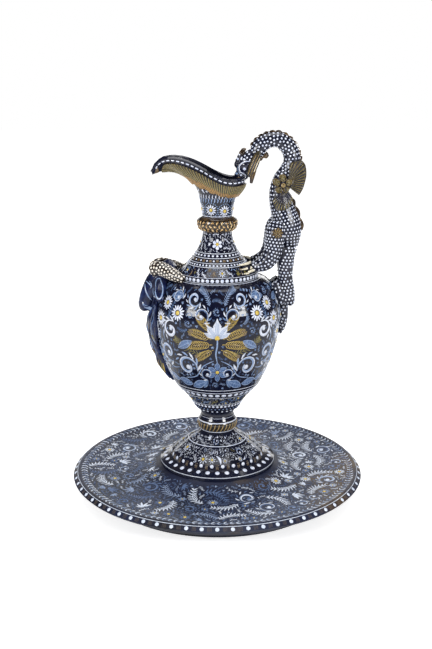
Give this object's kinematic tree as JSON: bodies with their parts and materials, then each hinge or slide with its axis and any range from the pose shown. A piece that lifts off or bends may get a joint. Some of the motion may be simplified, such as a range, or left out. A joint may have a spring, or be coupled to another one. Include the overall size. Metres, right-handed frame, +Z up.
{
  "type": "ewer on a charger",
  "caption": "Glazed, slip-decorated ewer with a beaked lip, a dragon-shaped handle and a ram's-head mask, standing free on a round beaded charger.",
  "frame": {"origin": "centre of the charger's foot ring, on the surface that it stands on", "axes": "+Z up along the common axis of ewer and charger; +X towards the dragon handle, -X towards the beak; Y across, so XZ is the plane of symmetry"},
  "size_m": [0.33, 0.33, 0.4089],
  "materials": {
    "charger_glaze": "glossy lead glaze",
    "vessel_glaze": "glossy lead glaze",
    "belly_glaze": "glossy lead glaze",
    "rope_glaze": "glossy lead glaze",
    "amber_glaze": "glossy lead glaze",
    "olive_gold_glaze": "glossy lead glaze",
    "dragon_glaze": "glossy lead glaze",
    "blue_glaze": "glossy lead glaze",
    "horn_glaze": "glossy lead glaze"
  },
  "bodies": {
    "charger": {"charger": "charger_glaze"},
    "ewer": {"foot": "vessel_glaze", "stem_knop": "rope_glaze", "cup": "vessel_glaze", "belly": "belly_glaze", "shoulder": "vessel_glaze", "neck": "vessel_glaze", "collar": "amber_glaze", "throat": "vessel_glaze", "spout": "vessel_glaze", "leaf_band": "olive_gold_glaze", "dragon_trunk": "dragon_glaze", "dragon_head": "dragon_glaze", "dragon_jaw": "amber_glaze", "ear_near": "olive_gold_glaze", "ear_far": "olive_gold_glaze", "head_knobs": "amber_glaze", "crest": "amber_glaze", "wing_near": "olive_gold_glaze", "wing_far": "olive_gold_glaze", "shell_near": "olive_gold_glaze", "shell_far": "olive_gold_glaze", "rosette_near": "olive_gold_glaze", "rosette_far": "olive_gold_glaze", "boss_near": "amber_glaze", "boss_far": "amber_glaze", "foreleg_near": "dragon_glaze", "foreleg_far": "dragon_glaze", "hindleg_near": "dragon_glaze", "hindleg_far": "dragon_glaze", "tail": "dragon_glaze", "mask": "blue_glaze", "horn_near": "horn_glaze", "horn_far": "horn_glaze", "mask_ear_near": "blue_glaze", "mask_ear_far": "blue_glaze", "drape": "blue_glaze"}
  },
  "joints": [
    {"name": "ewer_lift", "type": "slide", "parent": "charger", "child": "ewer", "axis": [0, 0, 1], "range_m": [0, 0.12]}
  ]
}
